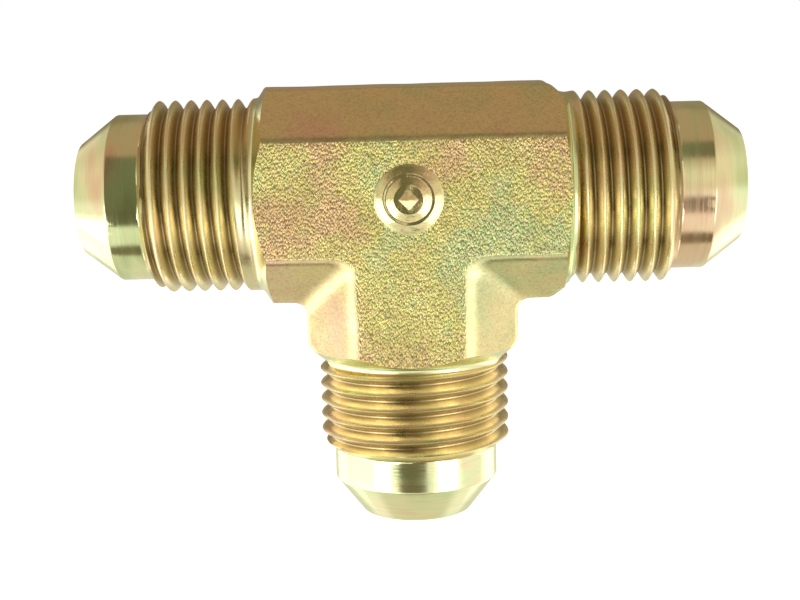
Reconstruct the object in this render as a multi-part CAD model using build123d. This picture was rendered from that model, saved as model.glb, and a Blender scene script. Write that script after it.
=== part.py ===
from build123d import *
from math import radians, tan
import os

# Union tee for 37 degree flared tube, size 10 (5/8 in tube), in millimetres.
# It is one piece of steel: a closed-die forging, then turned, threaded and drilled on
# its three arms. The run lies along X and the branch points down, towards -Z. The wide
# face with the round locating boss looks towards -Y. The origin is where the axis of
# the run meets the axis of the branch.

INCH = 25.4
OVERLAP = 0.5                 # how far joined or cutting shapes run into each other

# Forged body: bars of bevelled section, with the die's parting line at Y = 0
BODY_HALF_WIDTH = 12.25       # centre to the parting line, on the run and on the branch
BODY_HALF_THICKNESS = 11.4    # centre to the wide front and back faces
FACE_HALF_WIDTH = 6.65        # of a wide face, up to where its bevel would begin unrounded
BEVEL_ANGLE = 45              # degrees, from a wide face to its bevel
DRAFT = 0.3                   # how much lower a side is at its bevel than at the parting line
RIGHT_SHOULDER = 17.8         # centre to where the lathe ends the forged body at +X
LEFT_SHOULDER = 17.1          # the same at -X
BRANCH_SHOULDER = 18.9        # the same on the branch
RIGHT_CORNER = 15.5           # centre to where the sides turn in at 45 degrees, at +X
BRANCH_CORNER = 16.5          # the same on the branch
FORGED_LENGTH = 20.5          # each arm is forged longer, and the lathe takes off the rest
EDGE_RADIUS = 1.5             # forged edges and inside corners
BRANCH_FACE_EDGE_RADIUS = 4.0

# Locating boss that the die leaves on the front face, in two tiers and a small pyramid
BOSS_RADIUS = 3.75
BOSS_TOP_RADIUS = 2.65
BOSS_HEIGHT = 0.5
BOSS_STEP_RADIUS = 2.5
BOSS_STEP_TOP_RADIUS = 1.5
BOSS_STEP_HEIGHT = 0.45
BOSS_PYRAMID_WIDTH = 1.6
BOSS_PYRAMID_TIP_WIDTH = 0.3
BOSS_PYRAMID_HEIGHT = 0.35
BOSS_PYRAMID_TURN = 45        # degrees, so that its corners point along the arms

# Turned end, the same on each arm: straight thread 7/8-14 UNF, then the 37 degree nose
PITCH = INCH / 14
THREAD_RADIUS = 11.1
THREAD_DEPTH = 0.6134 * PITCH
FLANK_ANGLE = 30              # degrees, half of the 60 degree thread
CREST_FLAT = PITCH / 8
GROOVE_START = 17.85          # centre to the middle of the groove where the thread begins
THREAD_TURNS = 7
THREAD_END = 28.7             # centre to where the chamfer at the thread's end begins
LAND_START = 29.8             # centre to the plain land
LAND_RADIUS = 9.575
RIGHT_SHOULDER_SLOPE = 2.6    # rise over run of the cone that the lathe cuts on a shoulder
LEFT_SHOULDER_SLOPE = 1.5
BRANCH_SHOULDER_SLOPE = 1.3
SEAT_ANGLE = 37               # degrees, from the axis to the sealing cone
TIP_RADIUS = 6.45
REACH = 37.6                  # centre to the tip of the nose
SEAT_START = REACH - (LAND_RADIUS - TIP_RADIUS) / tan(radians(SEAT_ANGLE))

# Fluid passages
BORE_RADIUS = 0.484 * INCH / 2

# Each arm is a plane whose Z runs out along the arm and whose X is across its width
RIGHT = Plane(origin=(0, 0, 0), x_dir=(0, 0, 1), z_dir=(1, 0, 0))
LEFT = Plane(origin=(0, 0, 0), x_dir=(0, 0, 1), z_dir=(-1, 0, 0))
BRANCH = Plane(origin=(0, 0, 0), x_dir=(1, 0, 0), z_dir=(0, 0, -1))

# The angle about each arm, in degrees from its plane's X, at which its thread begins
THREAD_STARTS = ((RIGHT, -30), (LEFT, -150), (BRANCH, 210))
BORED_LENGTH = REACH + OVERLAP


def bar_section():
    """Closed outline of a forged bar: X is across its width, Y is through its thickness."""
    side = BODY_HALF_WIDTH - DRAFT
    bevel_end = BODY_HALF_THICKNESS - (side - FACE_HALF_WIDTH) * tan(radians(BEVEL_ANGLE))
    quarter = [
        (BODY_HALF_WIDTH, 0),
        (side, bevel_end),
        (FACE_HALF_WIDTH, BODY_HALF_THICKNESS),
    ]
    upper = quarter + [(-x, y) for x, y in reversed(quarter)]
    lower = [(-x, -y) for x, y in upper[1:-1]]
    return Polyline(*upper, *lower, close=True)


def bar(plane, start, end):
    """Forged bar along the plane's Z, from start to end."""
    outline = make_face(plane.offset(start) * bar_section())
    return extrude(outline, amount=end - start, dir=plane.z_dir)


def lies_between_ends(edge):
    """True unless the edge bounds the flat cut end of a bar."""
    middle = edge @ 0.5
    at_run_end = abs(abs(middle.X) - FORGED_LENGTH) < 0.01
    at_branch_end = abs(middle.Z + FORGED_LENGTH) < 0.01
    return not (at_run_end or at_branch_end)


def is_branch_face_edge(edge):
    """True for the four long edges of the branch's wide faces."""
    along_branch = abs((edge % 0.5).Z) > 0.99
    on_wide_face = abs(abs((edge @ 0.5).Y) - BODY_HALF_THICKNESS) < 0.01
    return along_branch and on_wide_face and lies_between_ends(edge)


def forged_tee():
    """Run and branch joined, with the rounded edges and inside corners of a forging."""
    run = bar(RIGHT, -FORGED_LENGTH, FORGED_LENGTH)
    branch = bar(BRANCH, 0, FORGED_LENGTH)
    tee = run + branch
    tee = fillet([e for e in tee.edges() if is_branch_face_edge(e)], BRANCH_FACE_EDGE_RADIUS)
    return fillet([e for e in tee.edges() if lies_between_ends(e)], EDGE_RADIUS)


def turned(plane, *profile):
    """Solid of revolution about the plane's Z, from the (radius, height) points of its side."""
    loop = [(0, profile[0][1]), *profile, (0, profile[-1][1])]
    outline = Plane.XZ * make_face(Polyline(*loop, close=True))
    return plane * revolve(outline, Axis.Z, 360)


def corner_cut(plane, corner):
    """What the sides of a forged arm leave out where they turn in at 45 degrees."""
    depth = FORGED_LENGTH + OVERLAP - corner
    wedge = Polyline(
        (BODY_HALF_WIDTH + OVERLAP, corner - OVERLAP),
        (BODY_HALF_WIDTH - depth, corner + depth),
        (BODY_HALF_WIDTH + OVERLAP, corner + depth),
        close=True,
    )
    wedge = extrude(Plane.XZ * make_face(wedge), BODY_HALF_THICKNESS + OVERLAP, both=True)
    return [plane * wedge, plane * mirror(wedge, Plane.YZ)]


def shoulder_cut(plane, shoulder, slope):
    """Waste that the lathe takes off a forged arm: a cone, and all that lies past it."""
    waste_radius = BODY_HALF_WIDTH + 2 * EDGE_RADIUS
    cone_start = shoulder - (waste_radius - THREAD_RADIUS) / slope
    return turned(
        plane,
        (THREAD_RADIUS, shoulder),
        (waste_radius, cone_start),
        (waste_radius, FORGED_LENGTH + OVERLAP),
    )


def groove_turn(start_angle, turn):
    """One whole turn of the thread's groove, as a solid to cut away, about Z."""
    lift = 0.05 * PITCH
    slope = tan(radians(FLANK_ANGLE))
    top_half = (PITCH - CREST_FLAT) / 2 + lift * slope
    bottom_half = top_half - (THREAD_DEPTH + lift) * slope
    corners = [
        (THREAD_RADIUS + lift, top_half),
        (THREAD_RADIUS - THREAD_DEPTH, bottom_half),
        (THREAD_RADIUS - THREAD_DEPTH, -bottom_half),
        (THREAD_RADIUS + lift, -top_half),
    ]
    section = Plane.XZ * make_face(Polyline(*corners, close=True))
    cutter = sweep(section, Helix(PITCH, PITCH, THREAD_RADIUS), is_frenet=True)
    return Pos(0, 0, GROOVE_START + turn * PITCH) * Rot(0, 0, start_angle) * cutter


def turned_end(plane, start_angle):
    """One arm's collar, thread, plain land and 37 degree sealing cone."""
    blank = turned(
        Plane.XY,
        (THREAD_RADIUS, GROOVE_START - 2 * PITCH),
        (THREAD_RADIUS, THREAD_END),
        (LAND_RADIUS, LAND_START),
        (LAND_RADIUS, SEAT_START),
        (TIP_RADIUS, REACH),
    )
    return plane * (blank - [groove_turn(start_angle, turn) for turn in range(THREAD_TURNS)])


def locating_boss():
    """Round two-tier boss with a small square pyramid, standing on the front face."""
    front = Plane(origin=(0, -BODY_HALF_THICKNESS, 0), x_dir=(1, 0, 0), z_dir=(0, -1, 0))
    first_top = BOSS_HEIGHT
    second_top = first_top + BOSS_STEP_HEIGHT
    boss = turned(
        front,
        (BOSS_RADIUS, -OVERLAP),
        (BOSS_RADIUS, 0),
        (BOSS_TOP_RADIUS, first_top),
        (BOSS_STEP_RADIUS, first_top),
        (BOSS_STEP_TOP_RADIUS, second_top),
    )
    base = Rectangle(BOSS_PYRAMID_WIDTH, BOSS_PYRAMID_WIDTH, BOSS_PYRAMID_TURN)
    tip = Rectangle(BOSS_PYRAMID_TIP_WIDTH, BOSS_PYRAMID_TIP_WIDTH, BOSS_PYRAMID_TURN)
    pyramid = loft([
        front.offset(second_top - OVERLAP / 2) * base,
        front.offset(second_top + BOSS_PYRAMID_HEIGHT) * tip,
    ])
    return boss + pyramid


def run_bore():
    """Drilled passage from nose to nose, with its seam in the opening of the branch."""
    along_run = Plane(origin=(0, 0, 0), x_dir=(0, 0, -1), z_dir=(1, 0, 0))
    return turned(along_run, (BORE_RADIUS, -BORED_LENGTH), (BORE_RADIUS, BORED_LENGTH))


def branch_bore():
    """Drilled passage from the middle of the run out through the branch's nose."""
    return turned(BRANCH, (BORE_RADIUS, 0), (BORE_RADIUS, BORED_LENGTH))


def tee_body():
    """The finished fitting, as one solid."""
    body = forged_tee()
    body += locating_boss()
    body -= corner_cut(RIGHT, RIGHT_CORNER) + corner_cut(BRANCH, BRANCH_CORNER)
    body -= shoulder_cut(RIGHT, RIGHT_SHOULDER, RIGHT_SHOULDER_SLOPE)
    body -= shoulder_cut(LEFT, LEFT_SHOULDER, LEFT_SHOULDER_SLOPE)
    body -= shoulder_cut(BRANCH, BRANCH_SHOULDER, BRANCH_SHOULDER_SLOPE)
    for plane, start_angle in THREAD_STARTS:
        body += turned_end(plane, start_angle)
    return body - run_bore() - branch_bore()


os.makedirs("parts", exist_ok=True)
export_step(tee_body(), "parts/tee_body.step")
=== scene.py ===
from math import cos, pi, radians, sin, tan

import bmesh
import bpy
import numpy as np
from mathutils import Matrix, Vector


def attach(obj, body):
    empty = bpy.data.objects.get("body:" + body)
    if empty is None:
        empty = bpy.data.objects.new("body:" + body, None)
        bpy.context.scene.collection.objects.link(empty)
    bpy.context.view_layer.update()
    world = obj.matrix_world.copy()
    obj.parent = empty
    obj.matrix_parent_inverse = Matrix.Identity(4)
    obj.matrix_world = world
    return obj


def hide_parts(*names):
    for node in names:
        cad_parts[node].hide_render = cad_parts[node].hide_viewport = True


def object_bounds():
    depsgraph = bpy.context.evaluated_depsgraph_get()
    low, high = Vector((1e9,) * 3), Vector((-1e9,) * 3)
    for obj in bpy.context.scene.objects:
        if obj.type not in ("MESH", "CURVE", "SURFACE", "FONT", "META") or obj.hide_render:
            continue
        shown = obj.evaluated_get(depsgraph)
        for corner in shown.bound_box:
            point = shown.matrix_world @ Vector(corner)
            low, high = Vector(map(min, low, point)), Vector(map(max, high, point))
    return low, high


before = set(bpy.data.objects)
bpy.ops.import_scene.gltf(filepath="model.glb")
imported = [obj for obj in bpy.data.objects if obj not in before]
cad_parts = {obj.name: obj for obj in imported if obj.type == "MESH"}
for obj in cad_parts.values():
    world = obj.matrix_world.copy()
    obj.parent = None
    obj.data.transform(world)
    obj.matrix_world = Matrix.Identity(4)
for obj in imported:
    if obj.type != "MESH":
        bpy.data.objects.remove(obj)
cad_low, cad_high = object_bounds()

# A plated steel union tee, built the way the real one is made: a blasted forging, whose
# arms are turned down at the shoulders, threaded, given their sealing cones and drilled.
# Shapes are worked out in millimetres, in the frame's own axes, and scaled at the end.
MM = 0.001
INCH = 25.4

# --------------------------------------------------------------------------------------
# Sizes, the same as the frame's, in millimetres
# --------------------------------------------------------------------------------------
HALF_WIDTH = 12.25            # centre to the die's parting line
HALF_THICKNESS = 11.4         # centre to the wide front and back faces
FACE_HALF_WIDTH = 6.65        # of a wide face, up to where its bevel begins
DRAFT_PER_MM = 0.3 / 6.1      # how fast a side falls away from the parting line
RIGHT_CORNER = 15.5           # centre to where the sides turn in at 45 degrees
BRANCH_CORNER = 16.5
BAR_LENGTH = 20.5
SKIN_UNEVENNESS = 0.025       # of the forged skin, either way
PARTING_RIDGE = 0.09          # how far the die's parting line stands out
PARTING_HALF_BREADTH = 0.55
CORNER_ROUNDING = 0.35        # of the forging's outer corners
INSIDE_CORNER_ROUNDING = 1.5
SHARP_EDGE_ANGLE = radians(28)

PITCH = INCH / 14
THREAD_RADIUS = 11.1
THREAD_DEPTH = 0.6134 * PITCH
GROOVE_START = 17.85
THREAD_END = 28.7
LAND_START = 29.8
LAND_RADIUS = 9.575
TIP_RADIUS = 6.45
REACH = 37.6
SEAT_ANGLE = radians(37)
SEAT_START = REACH - (LAND_RADIUS - TIP_RADIUS) / tan(SEAT_ANGLE)
BORE_RADIUS = 0.484 * INCH / 2

# Each arm: its outward axis, the direction from which turns about it are counted, the
# turn in degrees at which its thread begins, the distance from the centre to its
# shoulder, and how steep the shoulder's cone is
ARMS = {
    "right": (Vector((1, 0, 0)), Vector((0, 0, 1)), -30, 17.8, 2.6),
    "left": (Vector((-1, 0, 0)), Vector((0, 0, 1)), -150, 17.1, 1.5),
    "branch": (Vector((0, 0, -1)), Vector((1, 0, 0)), 210, 18.9, 1.3),
}


def arm_matrix(axis, start, degrees=0.0):
    """Turns a piece made along +Z, with its seam at +X, onto one arm."""
    side = axis.cross(start)
    turn = Matrix((start, side, axis)).transposed().to_4x4()
    return turn @ Matrix.Rotation(radians(degrees), 4, "Z")


# --------------------------------------------------------------------------------------
# Small mesh tools
# --------------------------------------------------------------------------------------
def mesh_object(name, points, faces):
    """A linked object from points and faces, with its normals made to point outwards."""
    mesh = bpy.data.meshes.new(name)
    mesh.from_pydata([tuple(p) for p in points], [], [tuple(f) for f in faces])
    shape = bmesh.new()
    shape.from_mesh(mesh)
    bmesh.ops.recalc_face_normals(shape, faces=shape.faces)
    shape.to_mesh(mesh)
    shape.free()
    obj = bpy.data.objects.new(name, mesh)
    bpy.context.scene.collection.objects.link(obj)
    return obj


def combine(target, other, operation):
    """Joins or cuts target with other, then deletes other."""
    modifier = target.modifiers.new("combine", "BOOLEAN")
    modifier.operation = operation
    modifier.solver = "MANIFOLD"
    modifier.object = other
    result = bpy.data.meshes.new_from_object(
        target.evaluated_get(bpy.context.evaluated_depsgraph_get()))
    target.modifiers.remove(modifier)
    if len(result.vertices) in (0, len(target.data.vertices)):
        raise ValueError(f"{operation} of {target.name} and {other.name} changed nothing")
    target.data = result
    bpy.data.objects.remove(other)


def revolve(name, profile, segments, matrix=Matrix.Identity(4)):
    """Closed solid of revolution about Z, from (radius, height) points, axis to axis."""
    points = []
    faces = []
    rings = []
    for radius, height in profile:
        first = len(points)
        if radius < 1e-9:
            points.append(matrix @ Vector((0, 0, height)))
            rings.append([first] * segments)
            continue
        for i in range(segments):
            angle = 2 * pi * i / segments
            points.append(matrix @ Vector((radius * cos(angle), radius * sin(angle), height)))
        rings.append([first + i for i in range(segments)])
    for low, high in zip(rings, rings[1:]):
        for i in range(segments):
            j = (i + 1) % segments
            faces.append(tuple(dict.fromkeys((low[i], low[j], high[j], high[i]))))
    return mesh_object(name, points, faces)


# --------------------------------------------------------------------------------------
# The forging: a rounded shape given by a distance-like function, meshed on a grid
# --------------------------------------------------------------------------------------
def smooth_max(a, b, blend):
    """The larger of a and b, with the corner between them rounded off."""
    h = np.clip(0.5 + 0.5 * (a - b) / blend, 0, 1)
    return b + (a - b) * h + blend * h * (1 - h)


def smooth_min(a, b, blend):
    """The smaller of a and b, with the corner between them rounded off."""
    return -smooth_max(-a, -b, blend)


def smooth_step(low, high, x):
    """Runs from 0 at low to 1 at high, level at both."""
    t = np.clip((x - low) / (high - low), 0, 1)
    return t * t * (3 - 2 * t)


def bar_outline(across, depth):
    """Negative inside a bar's sides and bevels. Across is its width, depth its thickness."""
    side = across + depth * DRAFT_PER_MM - HALF_WIDTH
    bevel = (across + depth - FACE_HALF_WIDTH - HALF_THICKNESS) / 2 ** 0.5
    return smooth_max(side, bevel, CORNER_ROUNDING)


def random_waves(count, shortest, longest):
    """Wave vectors and phases in random directions, for unevenness with no visible pattern."""
    direction = RANDOM.normal(size=(count, 3))
    direction /= np.linalg.norm(direction, axis=1)[:, None]
    length = RANDOM.uniform(shortest, longest, count)
    return direction * (2 * pi / length)[:, None], RANDOM.uniform(0, 2 * pi, count)


RANDOM = np.random.default_rng(7)
WAVES, WAVE_PHASES = random_waves(28, 3.0, 11.0)


def waviness(p):
    """Slow unevenness of a forged and blasted skin, mostly between -1 and 1."""
    return np.sin(p @ WAVES.T + WAVE_PHASES).sum(1) / len(WAVES) ** 0.5


def forging(p):
    """Negative inside the forging, for points p of shape (n, 3)."""
    x, y, z = np.abs(p[:, 0]), np.abs(p[:, 1]), p[:, 2]
    run = smooth_max(bar_outline(np.abs(z), y), x - BAR_LENGTH, 0.01)
    branch = smooth_max(bar_outline(x, y), -BAR_LENGTH - z, 0.01)
    branch = smooth_max(branch, z, 0.01)
    run_corner = (p[:, 0] + np.abs(z) - HALF_WIDTH - RIGHT_CORNER) / 2 ** 0.5
    branch_corner = (x - z - HALF_WIDTH - BRANCH_CORNER) / 2 ** 0.5
    run = smooth_max(run, run_corner, CORNER_ROUNDING)
    branch = smooth_max(branch, branch_corner, CORNER_ROUNDING)
    outline = smooth_min(run, branch, INSIDE_CORNER_ROUNDING)
    near_branch = smooth_step(-1.5, 1.0, run - branch) * smooth_step(-6, -9, z)
    edge = 0.5 + 0.75 * near_branch
    body = smooth_max(outline, y - HALF_THICKNESS, edge)
    ridge = PARTING_RIDGE * np.exp(-(p[:, 1] / PARTING_HALF_BREADTH) ** 2)
    return body - ridge - SKIN_UNEVENNESS * waviness(p)


def forging_normal(p):
    """Slope of forging() at points p."""
    step = 0.01
    slope = np.empty_like(p)
    for axis in range(3):
        offset = np.zeros(3)
        offset[axis] = step
        slope[:, axis] = (forging(p + offset) - forging(p - offset)) / (2 * step)
    return slope


def forging_skin(cell=0.36):
    """Closed quad mesh of the forging, one point for each grid cell that its skin crosses."""
    low = np.array([-BAR_LENGTH - 1, -HALF_THICKNESS - 1, -BAR_LENGTH - 1])
    high = np.array([BAR_LENGTH + 1, HALF_THICKNESS + 1, HALF_WIDTH + 1.5])
    counts = np.ceil((high - low) / cell).astype(int) + 1
    lines = [low[a] + cell * np.arange(counts[a]) for a in range(3)]
    grid = np.stack(np.meshgrid(*lines, indexing="ij"), -1)
    value = forging(grid.reshape(-1, 3)).reshape(counts)
    inside = value < 0

    cells = tuple(counts - 1)
    total = np.zeros(cells + (3,))
    crossings = np.zeros(cells)
    corner = [(i, j, k) for i in (0, 1) for j in (0, 1) for k in (0, 1)]
    for a in corner:
        for axis in range(3):
            if a[axis]:
                continue
            b = tuple(a[n] + (n == axis) for n in range(3))
            cut_a = tuple(slice(a[n], a[n] + cells[n]) for n in range(3))
            cut_b = tuple(slice(b[n], b[n] + cells[n]) for n in range(3))
            crosses = inside[cut_a] != inside[cut_b]
            va, vb = value[cut_a], value[cut_b]
            share = np.where(crosses, va / np.where(crosses, va - vb, 1), 0)[..., None]
            crossing = grid[cut_a] * (1 - share) + grid[cut_b] * share
            total += np.where(crosses[..., None], crossing, 0)
            crossings += crosses
    used = crossings > 0
    index = np.full(cells, -1)
    index[used] = np.arange(used.sum())
    points = total[used] / crossings[used][:, None]

    faces = []
    for axis in range(3):
        u, v = [n for n in range(3) if n != axis]
        here = [slice(1, cells[n]) for n in range(3)]
        here[axis] = slice(0, cells[axis])
        ahead = list(here)
        ahead[axis] = slice(1, cells[axis] + 1)
        crosses = inside[tuple(here)] != inside[tuple(ahead)]
        where = np.argwhere(crosses) + [0 if n == axis else 1 for n in range(3)]
        ring = []
        for du, dv in ((0, 0), (1, 0), (1, 1), (0, 1)):
            at = where.copy()
            at[:, u] -= du
            at[:, v] -= dv
            ring.append(index[tuple(at.T)])
        faces.append(np.stack(ring, 1))
    faces = np.concatenate(faces)

    for _ in range(6):
        points = relax(points, faces, 0.5)
        points = settle(points)
    return mesh_object("forging", points, faces)


def relax(points, faces, share):
    """Moves each point towards the middle of its neighbours, sliding along the skin."""
    total = np.zeros_like(points)
    count = np.zeros(len(points))
    for a in range(4):
        for b in (1, 3):
            np.add.at(total, faces[:, a], points[faces[:, (a + b) % 4]])
            np.add.at(count, faces[:, a], 1)
    move = total / count[:, None] - points
    normal = forging_normal(points)
    normal /= np.linalg.norm(normal, axis=1)[:, None]
    move -= normal * (move * normal).sum(1)[:, None]
    return points + share * move


def settle(points):
    """Puts each point back on the forging's skin."""
    for _ in range(3):
        slope = forging_normal(points)
        length = np.maximum((slope ** 2).sum(1), 0.05)
        points = points - slope * (forging(points) / length)[:, None]
    return points


# --------------------------------------------------------------------------------------
# Locating boss on the front face: two round conical tiers and a small pyramid
# --------------------------------------------------------------------------------------
BOSS_SINK = 0.6
BOSS_PROFILE = [(3.8, 0.0), (2.8, 0.52), (2.5, 0.46), (1.6, 0.94)]
PYRAMID_HALF_DIAGONAL = 1.35
PYRAMID_HEIGHT = 0.50


def pyramid(low, high, edge=0.04):
    """Four-sided pyramid on the boss, its corners pointing along the arms."""
    corners = [(-1, 0), (0, -1), (1, 0), (0, 1)]
    points = [(x * PYRAMID_HALF_DIAGONAL, -low, z * PYRAMID_HALF_DIAGONAL) for x, z in corners]
    points.append((-0.1, -high, -0.05))
    faces = [(0, 1, 2, 3), (0, 4, 1), (1, 4, 2), (2, 4, 3), (3, 4, 0)]
    piece = mesh_object("pyramid", points, faces)
    shape = bmesh.new()
    shape.from_mesh(piece.data)
    bmesh.ops.bevel(shape, geom=list(shape.edges), offset=edge, segments=2, affect="EDGES")
    shape.to_mesh(piece.data)
    shape.free()
    return piece


def locating_boss():
    """Closed button that sinks into the front face."""
    out_of_face = arm_matrix(Vector((0, -1, 0)), Vector((1, 0, 0)))
    foot = HALF_THICKNESS - BOSS_SINK
    side = [(radius, HALF_THICKNESS + height) for radius, height in BOSS_PROFILE]
    top = side[-1][1]
    around = [(side[0][0] + 0.6, side[0][1] - 0.05)] + side + [(0, top)]
    profile = [(0, foot), (around[0][0], foot), around[0]]
    for before, corner, after in zip(around, around[1:], around[2:]):
        profile += arc_corner(corner, before, after, 0.09)
    profile.append((0, top))
    boss = revolve("boss", profile, 96, out_of_face)
    combine(boss, pyramid(top - 0.1, top + PYRAMID_HEIGHT), "UNION")
    return boss


# --------------------------------------------------------------------------------------
# Turned and threaded ends
# --------------------------------------------------------------------------------------
def envelope(s):
    """Radius of the turned end before threading, at distance s from the centre."""
    slope = (THREAD_RADIUS - LAND_RADIUS) / (LAND_START - THREAD_END)
    chamfer = THREAD_RADIUS - (s - THREAD_END) * slope
    radius = smooth_min(np.float64(THREAD_RADIUS), chamfer, 0.12)
    return smooth_max(radius, np.float64(LAND_RADIUS), 0.12)


def thread_radius(s, turn):
    """Radius of the thread at distance s from the centre and at a share of one turn."""
    along = (s - GROOVE_START) / PITCH - turn
    which = np.floor(along + 0.5)
    away = np.abs(along - which) * PITCH
    pitch_radius = THREAD_RADIUS - 0.375 * PITCH * 3 ** 0.5 / 2
    flank = pitch_radius + (away - PITCH / 4) * 3 ** 0.5
    cut = smooth_max(np.float64(THREAD_RADIUS - THREAD_DEPTH), flank, 0.22)
    cut = smooth_min(np.float64(THREAD_RADIUS), cut, 0.42)
    fade = smooth_step(-0.02, 0.45, which + turn)
    return THREAD_RADIUS - fade * (THREAD_RADIUS - cut)


def threaded_end(name, axis, start, degrees, segments=144, rows_per_pitch=13):
    """One arm's closed end: collar, helical thread, land and cone, before it is drilled."""
    first_row = GROOVE_START - PITCH / 2
    rows = int((LAND_START + 0.45 - first_row) / PITCH * rows_per_pitch)
    points = []

    def ring(radius, s):
        base = len(points)
        for i in range(segments):
            angle = 2 * pi * i / segments
            points.append((radius * cos(angle), radius * sin(angle), s))
        return [base + i for i in range(segments)]

    faces = []

    def band(low, high):
        for i in range(segments):
            j = (i + 1) % segments
            faces.append((low[i], low[j], high[j], high[i]))

    inner = ring(THREAD_RADIUS, first_row - 1.6)
    collar = ring(THREAD_RADIUS, first_row - 0.1)
    band(inner, collar)
    faces.append(tuple(reversed(inner)))

    helix = []
    for row in range(rows + 1):
        base = len(points)
        for i in range(segments):
            turn = i / segments
            angle = 2 * pi * turn
            s = first_row + row * PITCH / rows_per_pitch + PITCH * turn
            r = float(smooth_min(envelope(s), thread_radius(s, turn), 0.06))
            points.append((r * cos(angle), r * sin(angle), s))
        helix.append([base + i for i in range(segments)])
    for low, high in zip(helix, helix[1:]):
        for i in range(segments - 1):
            faces.append((low[i], low[i + 1], high[i + 1], high[i]))
    for row in range(rows - rows_per_pitch):
        low, high = helix[row], helix[row + 1]
        low_next, high_next = helix[row + rows_per_pitch], helix[row + rows_per_pitch + 1]
        faces.append((low[-1], low_next[0], high_next[0], high[-1]))

    # The spiral's two ends are closed with a fan each, on plain round stretches
    first = helix[0]
    for i in range(segments - 1):
        faces.append((collar[i], collar[i + 1], first[i + 1], first[i]))
    faces.append((collar[-1], collar[0], first[0], first[-1]))
    for row in range(rows_per_pitch):
        faces.append((first[-1], helix[row][0], helix[row + 1][0]))

    last = helix[rows]
    land_end = first_row + (rows / rows_per_pitch + 1) * PITCH + 0.1
    land = ring(LAND_RADIUS, land_end)
    for i in range(segments - 1):
        faces.append((last[i], last[i + 1], land[i + 1], land[i]))
    faces.append((last[-1], last[0], land[0], land[-1]))
    for row in range(rows - rows_per_pitch, rows):
        faces.append((helix[row][-1], last[0], helix[row + 1][-1]))

    # Land, seat and tip, with their corners just broken
    nose = [(LAND_RADIUS, SEAT_START - 0.12)]
    nose += arc_corner((LAND_RADIUS, SEAT_START), (LAND_RADIUS, 0), (TIP_RADIUS, REACH), 0.12)
    nose += arc_corner((TIP_RADIUS, REACH), (LAND_RADIUS, SEAT_START), (0, REACH), 0.07)
    previous = land
    for radius, s in nose:
        loop = ring(radius, s)
        band(previous, loop)
        previous = loop
    faces.append(tuple(previous))

    matrix = arm_matrix(axis, start, degrees)
    return mesh_object(name, [matrix @ Vector(p) for p in points], faces)


def arc_corner(corner, before, after, cut, steps=4):
    """Points that round a profile's corner, starting cut away from it on either side."""
    corner, before, after = Vector(corner), Vector(before), Vector(after)
    a = corner + (before - corner).normalized() * cut
    b = corner + (after - corner).normalized() * cut
    curve = []
    for n in range(steps + 1):
        t = n / steps
        curve.append(tuple(a * (1 - t) ** 2 + corner * 2 * t * (1 - t) + b * t ** 2))
    return curve


def shoulder_cutter(axis, start, shoulder, slope, segments=144):
    """Waste that the lathe takes off a forged arm: a cone with a rounded foot, and the rest."""
    outside = HALF_WIDTH + 4
    cone_start = shoulder - (outside - THREAD_RADIUS) / slope
    foot = (THREAD_RADIUS, shoulder)
    profile = [(0, shoulder + 0.7), (THREAD_RADIUS - 0.3, shoulder + 0.7)]
    profile += arc_corner(foot, (THREAD_RADIUS, shoulder + 1), (outside, cone_start), 0.45)
    profile += [(outside, cone_start), (outside, BAR_LENGTH + 2), (0, BAR_LENGTH + 2)]
    return revolve("waste", profile, segments, arm_matrix(axis, start))


def drill(axis, start, low, high, segments=112):
    """A drilled hole's solid, flared where it breaks out of a nose."""
    profile = [(0, low)]
    if low < 0:
        profile += [(BORE_RADIUS + 0.3, low), (BORE_RADIUS, -REACH + 0.14)]
    else:
        profile += [(BORE_RADIUS, low)]
    profile += [(BORE_RADIUS, REACH - 0.14), (BORE_RADIUS + 0.3, high), (0, high)]
    return revolve("drill", profile, segments, arm_matrix(axis, start))


def build_tee():
    """The whole fitting as one closed mesh, in metres."""
    tee = forging_skin()
    combine(tee, locating_boss(), "UNION")
    for axis, start, _, shoulder, slope in ARMS.values():
        combine(tee, shoulder_cutter(axis, start, shoulder, slope), "DIFFERENCE")
    for name, (axis, start, degrees, _, _) in ARMS.items():
        combine(tee, threaded_end(name, axis, start, degrees), "UNION")
    run_axis, run_start, _, _, _ = ARMS["right"]
    branch_axis, branch_start, _, _, _ = ARMS["branch"]
    combine(tee, drill(run_axis, run_start, -REACH - 0.16, REACH + 0.16), "DIFFERENCE")
    combine(tee, drill(branch_axis, branch_start, 0, REACH + 0.16), "DIFFERENCE")
    tee.data.transform(Matrix.Scale(MM, 4))
    tee.name = "plated_tee_body"
    tee.data.name = "plated_tee_body"
    return tee


# --------------------------------------------------------------------------------------
# Finish: yellow chromate over bright zinc, different on each kind of surface
# --------------------------------------------------------------------------------------
GOLD = (0.86, 0.73, 0.35)
PALE_GOLD = (0.95, 0.87, 0.50)
OLIVE = (0.60, 0.70, 0.34)
DARK_OLIVE = (0.34, 0.36, 0.14)
PALE_GREEN = (0.82, 0.92, 0.50)
ROSE = (0.88, 0.58, 0.38)
DARK_ROSE = (0.66, 0.42, 0.26)
BRIGHT_YELLOW = (1.0, 0.90, 0.30)
ROSE_DRIFT = -5.5             # per metre along +X, so the left is rosier and the right greener
BROWN_GOLD = (0.84, 0.73, 0.42)
ORANGE_GOLD = (0.90, 0.78, 0.46)


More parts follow.
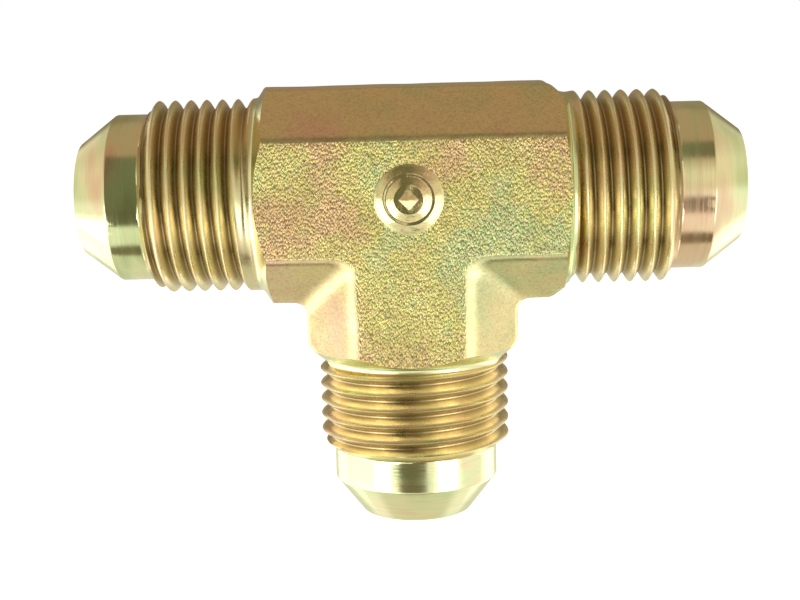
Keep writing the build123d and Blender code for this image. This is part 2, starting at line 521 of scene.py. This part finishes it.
class Graph:
    """Short calls that add nodes to a material's or a world's node tree."""

    def __init__(self, tree):
        self.tree = tree

    def add(self, kind, inputs=(), **settings):
        """A node with its settings made, and its inputs set to values or linked to sockets."""
        node = self.tree.nodes.new(kind)
        for key, value in settings.items():
            setattr(node, key, value)
        for key, value in dict(inputs).items():
            if isinstance(value, bpy.types.NodeSocket):
                self.tree.links.new(value, node.inputs[key])
            else:
                node.inputs[key].default_value = value
        return node

    def math(self, operation, *values):
        return self.add("ShaderNodeMath", enumerate(values), operation=operation).outputs[0]

    def step(self, value, low, high, start=0.0, end=1.0):
        """Smooth step from start to end while value goes from low to high."""
        inputs = {"Value": value, "From Min": low, "From Max": high, "To Min": start, "To Max": end}
        node = self.add("ShaderNodeMapRange", inputs, interpolation_type="SMOOTHSTEP")
        return node.outputs["Result"]

    def noise(self, place, size, detail=2.0, roughness=0.5, stretch=(1, 1, 1)):
        """Noise whose blobs are about size millimetres across, longer where stretch is more."""
        scale = tuple(1 / (MM * size * s) for s in stretch)
        spread = self.add("ShaderNodeVectorMath", {0: place, 1: scale}, operation="MULTIPLY")
        inputs = {"Vector": spread.outputs[0], "Scale": 0.5, "Detail": detail, "Roughness": roughness}
        return self.add("ShaderNodeTexNoise", inputs).outputs["Fac"]

    def cells(self, place, size, stretch=(1, 1, 1)):
        """Grains about size millimetres across: distance from a grain's middle, and its lot."""
        scale = tuple(1 / (MM * size * s) for s in stretch)
        spread = self.add("ShaderNodeVectorMath", {0: place, 1: scale}, operation="MULTIPLY")
        node = self.add("ShaderNodeTexVoronoi", {"Vector": spread.outputs[0], "Scale": 1.0})
        lot = self.add("ShaderNodeSeparateXYZ", {0: node.outputs["Color"]}).outputs["X"]
        return node.outputs["Distance"], lot

    def ramp(self, value, stops):
        """Colour that runs through (position, colour) stops."""
        node = self.add("ShaderNodeValToRGB", {"Fac": value})
        band = node.color_ramp
        while len(band.elements) < len(stops):
            band.elements.new(0.5)
        for element, (position, color) in zip(band.elements, stops):
            element.position = position
            element.color = (*color, 1)
        return node.outputs["Color"]

    def mix(self, share, first, second, blend="MIX"):
        inputs = {"Factor": share, 6: first, 7: second}
        node = self.add("ShaderNodeMix", inputs, data_type="RGBA", blend_type=blend)
        return node.outputs[2]

    def bump(self, height, depth, strength=1.0, normal=None):
        """Normal tilted by height, which is worth depth millimetres."""
        inputs = {"Height": height, "Distance": depth * MM, "Strength": strength}
        if normal is not None:
            inputs["Normal"] = normal
        return self.add("ShaderNodeBump", inputs).outputs["Normal"]


def new_plating(name):
    """A material's graph and shader, metallic all over, and the place on the object."""
    material = bpy.data.materials.new(name)
    material.use_nodes = True
    graph = Graph(material.node_tree)
    shader = material.node_tree.nodes["Principled BSDF"]
    shader.inputs["Metallic"].default_value = 1
    place = graph.add("ShaderNodeTexCoord").outputs["Object"]
    return material, graph, shader, place


def join(graph, shader, color, roughness, normal):
    """Plugs colour, roughness and normal into the shader."""
    for name, socket in (("Base Color", color), ("Roughness", roughness), ("Normal", normal)):
        graph.tree.links.new(socket, shader.inputs[name])


def forged_plating():
    """Sandy, blasted wide faces and smoother satin bevels, clouded green, gold and rose."""
    material, graph, shader, place = new_plating("forged_plating")
    facing = graph.add("ShaderNodeNewGeometry").outputs["Normal"]
    across = graph.add("ShaderNodeSeparateXYZ", {0: facing}).outputs["Y"]
    sandy = graph.step(graph.math("ABSOLUTE", across), 0.965, 0.997)
    depth = graph.math("ABSOLUTE", graph.add("ShaderNodeSeparateXYZ", {0: place}).outputs["Y"])
    boss_begins = [(HALF_THICKNESS + rise) * MM for rise in (0.10, 0.16)]
    off_boss = graph.step(depth, *boss_begins, 1.0, 0.0)
    sandy = graph.math("MULTIPLY", sandy, off_boss)

    along_run = graph.add("ShaderNodeSeparateXYZ", {0: place}).outputs["X"]
    drift = graph.math("MULTIPLY", along_run, ROSE_DRIFT)
    clouds = graph.math("ADD", graph.noise(place, 6.0, 3.0, 0.6), drift)
    color = graph.ramp(clouds, [(0.34, OLIVE), (0.47, GOLD), (0.54, GOLD), (0.64, ROSE)])
    bevel_grain = graph.ramp(graph.cells(place, 0.20)[1],
                             [(0.0, DARK_ROSE), (0.5, GOLD), (1.0, PALE_GOLD)])
    bevel_color = graph.mix(0.40, color, bevel_grain)

    dome, lot = graph.cells(place, 0.24, (0.8, 1.0, 1.6))
    grain = graph.ramp(lot, [(0.0, DARK_OLIVE), (0.25, OLIVE), (0.50, GOLD), (0.80, BRIGHT_YELLOW)])
    vivid = graph.ramp(clouds, [(0.37, (0.42, 0.58, 0.28)), (0.45, (0.62, 0.61, 0.19)),
                                (0.53, (0.59, 0.48, 0.17)), (0.61, (0.64, 0.34, 0.20))])
    sand = graph.mix(0.6, grain, vivid)
    speckle = graph.noise(place, 0.16, 2.0, 0.7)
    sand = graph.mix(graph.step(speckle, 0.50, 0.68, 0.0, 0.6), sand, (*ROSE, 1))
    color = graph.mix(sandy, bevel_color, sand)

    satin = graph.noise(place, 0.10, 2.0, 0.6)
    pits = graph.noise(place, 0.20, 2.0, 0.6, (0.8, 1.0, 1.8))
    normal = graph.bump(dome, -0.17, sandy)
    normal = graph.bump(pits, 0.13, sandy, normal)
    normal = graph.bump(satin, 0.022, 0.7, normal)
    on_boss = graph.math("SUBTRACT", 1.0, off_boss)
    normal = graph.bump(graph.noise(place, 0.9, 1.0), 0.16, on_boss, normal)
    uneven = graph.noise(place, 2.2, 3.0)
    duller = graph.math("MULTIPLY", sandy, 0.10)
    brighter = graph.math("MULTIPLY", on_boss, 0.14)
    extra = graph.math("SUBTRACT", duller, brighter)
    roughness = graph.math("ADD", graph.step(uneven, 0.3, 0.7, 0.26, 0.38), extra)
    join(graph, shader, color, roughness, normal)
    return material


def turned_plating(name, arm_axis, stops):
    """Fine lathe rings on the plain lands, the cones and the shoulders of one arm."""
    material, graph, shader, place = new_plating(name)
    rings = tuple(1 if axis == arm_axis else 40 for axis in "XYZ")
    bands = tuple(0.5 if axis == arm_axis else 1.4 for axis in "XYZ")
    clouds = graph.noise(place, 5.0, 2.0, 0.5, bands)
    color = graph.ramp(clouds, stops)
    lines = graph.noise(place, 0.16, 3.0, 0.7, rings)
    color = graph.mix(0.22, color, graph.ramp(lines, [(0.35, OLIVE), (0.5, PALE_GOLD), (0.65, ROSE)]))
    fine = graph.noise(place, 0.10, 2.0, 0.6)
    normal = graph.bump(lines, 0.010, 0.7)
    normal = graph.bump(fine, 0.004, 0.5, normal)
    streaks = graph.noise(place, 0.5, 3.0, 0.6, rings)
    roughness = graph.step(streaks, 0.3, 0.7, 0.10, 0.22)
    join(graph, shader, color, roughness, normal)
    return material


def thread_plating(name, arm_axis, crest, root):
    """Darker chromate on the threads, browner and darker towards their roots, partly thicker chromate
    and partly painted shade, with the tool's fine rings.
    """
    material, graph, shader, place = new_plating(name)
    parts = graph.add("ShaderNodeSeparateXYZ", {0: place})
    others = [parts.outputs[axis] for axis in "XYZ" if axis != arm_axis]
    squares = [graph.math("MULTIPLY", value, value) for value in others]
    radius = graph.math("SQRT", graph.math("ADD", *squares))
    # Painted shade: the colour darkens and browns from near the crest down to the root, partly also
    # for thicker chromate there.
    depth = graph.step(radius, (THREAD_RADIUS - THREAD_DEPTH) * MM, (THREAD_RADIUS - 0.35) * MM)
    clouds = graph.noise(place, 4.0, 3.0, 0.6)
    face = graph.ramp(clouds, [(0.36, OLIVE), (0.46, crest), (0.56, crest), (0.68, ROSE)])
    face = graph.mix(0.55, face, (*crest, 1))
    color = graph.mix(depth, (*root, 1), face)
    rings = tuple(1 if axis == arm_axis else 30 for axis in "XYZ")
    lines = graph.noise(place, 0.14, 3.0, 0.7, rings)
    grain = graph.noise(place, 0.25, 3.0, 0.6)
    normal = graph.bump(lines, 0.012, 0.7)
    normal = graph.bump(grain, 0.010, 0.5, normal)
    roughness = graph.step(graph.noise(place, 0.8, 3.0), 0.3, 0.7, 0.22, 0.38)
    join(graph, shader, color, roughness, normal)
    return material


def bore_plating():
    """Thin, dull plating inside the passages, with a fine even grain."""
    material, graph, shader, place = new_plating("bore_plating")
    clouds = graph.noise(place, 5.0, 3.0, 0.6)
    color = graph.ramp(clouds, [(0.35, (0.40, 0.42, 0.28)), (0.5, (0.62, 0.54, 0.34)),
                                (0.66, (0.56, 0.42, 0.30))])
    grain = graph.noise(place, 0.3, 3.0, 0.6)
    normal = graph.bump(grain, 0.03, 0.7)
    roughness = graph.step(graph.noise(place, 1.5, 3.0), 0.3, 0.7, 0.30, 0.50)
    join(graph, shader, color, roughness, normal)
    return material


# The index of each kind of surface in the fitting's list of materials
FINISHES = ["forged", "run_thread", "branch_thread", "run_turned", "branch_turned", "bore"]


def kind_of_surface(p):
    """Index in FINISHES of the surface at a place in millimetres."""
    reach = {name: p.dot(arm[0]) for name, arm in ARMS.items()}
    arm = max(reach, key=reach.get)
    s = reach[arm]
    axis, _, _, shoulder, _ = ARMS[arm]
    radius = (p - axis * s).length
    off_run = Vector((0, p.y, p.z)).length
    off_branch = Vector((p.x, p.y, 0)).length
    in_run = off_run < BORE_RADIUS + 0.05
    in_branch = p.z < 0 and off_branch < BORE_RADIUS + 0.05
    if in_run or in_branch:
        return FINISHES.index("bore")
    on_boss = p.y < -HALF_THICKNESS + 0.1 and s < 6
    if on_boss or s < shoulder + 0.1 and forging(np.array([p[:]]))[0] > -0.03:
        return FINISHES.index("forged")
    threaded = shoulder < s < LAND_START and radius < THREAD_RADIUS + 0.01
    side = "branch" if arm == "branch" else "run"
    return FINISHES.index(f"{side}_thread" if threaded else f"{side}_turned")


def finish_surfaces(tee):
    """Gives every face the plating of its kind of surface."""
    run_stops = [(0.38, OLIVE), (0.47, PALE_GREEN), (0.56, PALE_GOLD), (0.67, ROSE)]
    branch_stops = [(0.36, PALE_GREEN), (0.50, PALE_GREEN), (0.64, PALE_GOLD), (0.76, ROSE)]
    materials = [
        forged_plating(),
        # Each thread's last colour is its root's, darkened partly as painted shade and partly for
        # thicker chromate.
        thread_plating("run_thread_plating", "X", BROWN_GOLD, (0.46, 0.36, 0.18)),
        thread_plating("branch_thread_plating", "Z", ORANGE_GOLD, (0.60, 0.48, 0.25)),
        turned_plating("run_turned_plating", "X", run_stops),
        turned_plating("branch_turned_plating", "Z", branch_stops),
        bore_plating(),
    ]
    tee.data.materials.clear()
    for material in materials:
        tee.data.materials.append(material)
    for face in tee.data.polygons:
        face.material_index = kind_of_surface(face.center / MM)


tee = build_tee()
tee.data.shade_smooth()
tee.data.set_sharp_from_angle(angle=SHARP_EDGE_ANGLE)
finish_surfaces(tee)
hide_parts("tee_body")
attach(tee, "root")

# --------------------------------------------------------------------------------------
# Studio: a pale floor, and a tent of light around the fitting, dark where the lens is
# --------------------------------------------------------------------------------------
# Each patch of the tent: its turn from the front (towards +X) and its height over the
# horizon, both as (from, to) in degrees, the softness of its edges, and its brightness
TENT = [
    ("sides under the horizon", (-150, 150), (-62, -3), 5, (1.00, 0.99, 0.95)),
    ("left softbox", (-62, -24), (-42, -5), 4, (2.9, 2.9, 2.85)),
    ("left softbox, far end", (-108, -66), (-46, -16), 4, (2.3, 2.28, 2.2)),
    ("right softbox", (30, 62), (-42, -5), 4, (2.7, 2.7, 2.65)),
    ("left strip", (-142, -110), (-46, 14), 5, (2.0, 1.9, 1.7)),
    ("right strip", (110, 142), (-46, 14), 5, (2.0, 1.9, 1.7)),
    ("card at the lens", (-36, 6), (-18, 60), 4, (0.17, 0.17, 0.11)),
    ("card at the lens, top right", (0, 40), (40, 62), 4, (0.17, 0.17, 0.11)),
    ("card at the lens, low", (-24, 15), (-34, -12), 3, (0.17, 0.15, 0.10)),
    ("the fitting's own shade", (-60, 60), (-84, -62), 3, (0.22, 0.18, 0.12)),
    ("backdrop, left", (-200, -146), (-4, 48), 8, (0.30, 0.24, 0.17)),
    ("backdrop, right", (146, 200), (-4, 48), 8, (0.30, 0.24, 0.17)),
]
HORIZON_LIGHT = (0.82, 0.76, 0.65)
CEILING_LIGHT = (0.41, 0.30, 0.22)
NADIR_LIGHT = (0.72, 0.72, 0.62)


def light_tent():
    """World light: the tent for the fitting's reflections, plain white behind it."""
    world = bpy.data.worlds.new("studio")
    bpy.context.scene.world = world
    world.use_nodes = True
    graph = Graph(world.node_tree)
    toward = graph.add("ShaderNodeTexCoord").outputs["Generated"]
    parts = graph.add("ShaderNodeSeparateXYZ", {0: toward}).outputs
    turn = graph.math("ARCTAN2", parts["X"], graph.math("MULTIPLY", parts["Y"], -1.0))
    height = graph.math("ARCSINE", parts["Z"])
    share = graph.step(height, radians(-90), radians(90))
    light = graph.ramp(share, [(0.0, NADIR_LIGHT), (0.2, NADIR_LIGHT), (0.42, HORIZON_LIGHT),
                               (0.66, HORIZON_LIGHT), (0.84, CEILING_LIGHT)])
    for _, turns, heights, soft, color in TENT:
        edges = []
        for value, (low, high) in ((turn, turns), (height, heights)):
            edges.append(graph.step(value, radians(low - soft), radians(low + soft)))
            edges.append(graph.step(value, radians(high - soft), radians(high + soft), 1.0, 0.0))
        mask = edges[0]
        for edge in edges[1:]:
            mask = graph.math("MULTIPLY", mask, edge)
        light = graph.mix(mask, light, (*color, 1))
    seen = graph.add("ShaderNodeLightPath").outputs["Is Camera Ray"]
    tent = world.node_tree.nodes["Background"]
    world.node_tree.links.new(graph.mix(seen, light, (1, 1, 1, 1)), tent.inputs["Color"])


def pale_floor():
    """Plain floor at the fitting's foot, which the plating doesn't mirror."""
    bpy.ops.mesh.primitive_plane_add(size=6, location=(0, 0, cad_low.z))
    floor = bpy.context.object
    floor.name = "floor"
    floor.visible_glossy = False
    material = bpy.data.materials.new("pale_floor")
    material.use_nodes = True
    shader = material.node_tree.nodes["Principled BSDF"]
    shader.inputs["Base Color"].default_value = (0.80, 0.82, 0.84, 1)
    shader.inputs["Roughness"].default_value = 0.9
    shader.inputs["Emission Color"].default_value = (1, 1, 1, 1)
    shader.inputs["Emission Strength"].default_value = 0.85
    floor.data.materials.append(material)


def add_softbox(name, place, size, power):
    """Square area light that looks at the fitting, and isn't mirrored in it."""
    light = bpy.data.lights.new(name, "AREA")
    light.size = size
    light.energy = power
    obj = bpy.data.objects.new(name, light)
    bpy.context.scene.collection.objects.link(obj)
    obj.location = place
    obj.rotation_euler = (-Vector(place)).to_track_quat("-Z", "Y").to_euler()
    obj.visible_glossy = False


light_tent()
pale_floor()
add_softbox("key_softbox", (-0.55, -0.25, 0.80), 0.7, 1.6)
bpy.context.scene.view_settings.view_transform = "Standard"

# Camera: in front of the boss and a little above it, held not quite level
CAMERA_DISTANCE = 157.1
CAMERA_ELEVATION = radians(8.97)
CAMERA_AZIMUTH = radians(1.16)
CAMERA_ROLL = radians(-1.44)
CAMERA_LENS = 60.9
AIM_LEFT = 1.15
AIM_DOWN = 12.64


def add_camera():
    """Looks at the face with the boss, aimed a little below the run."""
    data = bpy.data.cameras.new("camera")
    data.sensor_width = 36
    data.lens = CAMERA_LENS
    data.clip_start = 0.005
    camera = bpy.data.objects.new("camera", data)
    bpy.context.scene.collection.objects.link(camera)
    facing = (Matrix.Rotation(CAMERA_AZIMUTH, 4, "Z")
              @ Matrix.Rotation(pi / 2 - CAMERA_ELEVATION, 4, "X")
              @ Matrix.Rotation(CAMERA_ROLL, 4, "Z"))
    place = facing @ Vector((-AIM_LEFT, -AIM_DOWN, CAMERA_DISTANCE))
    camera.matrix_world = Matrix.Translation(place * MM) @ facing
    bpy.context.scene.camera = camera


add_camera()
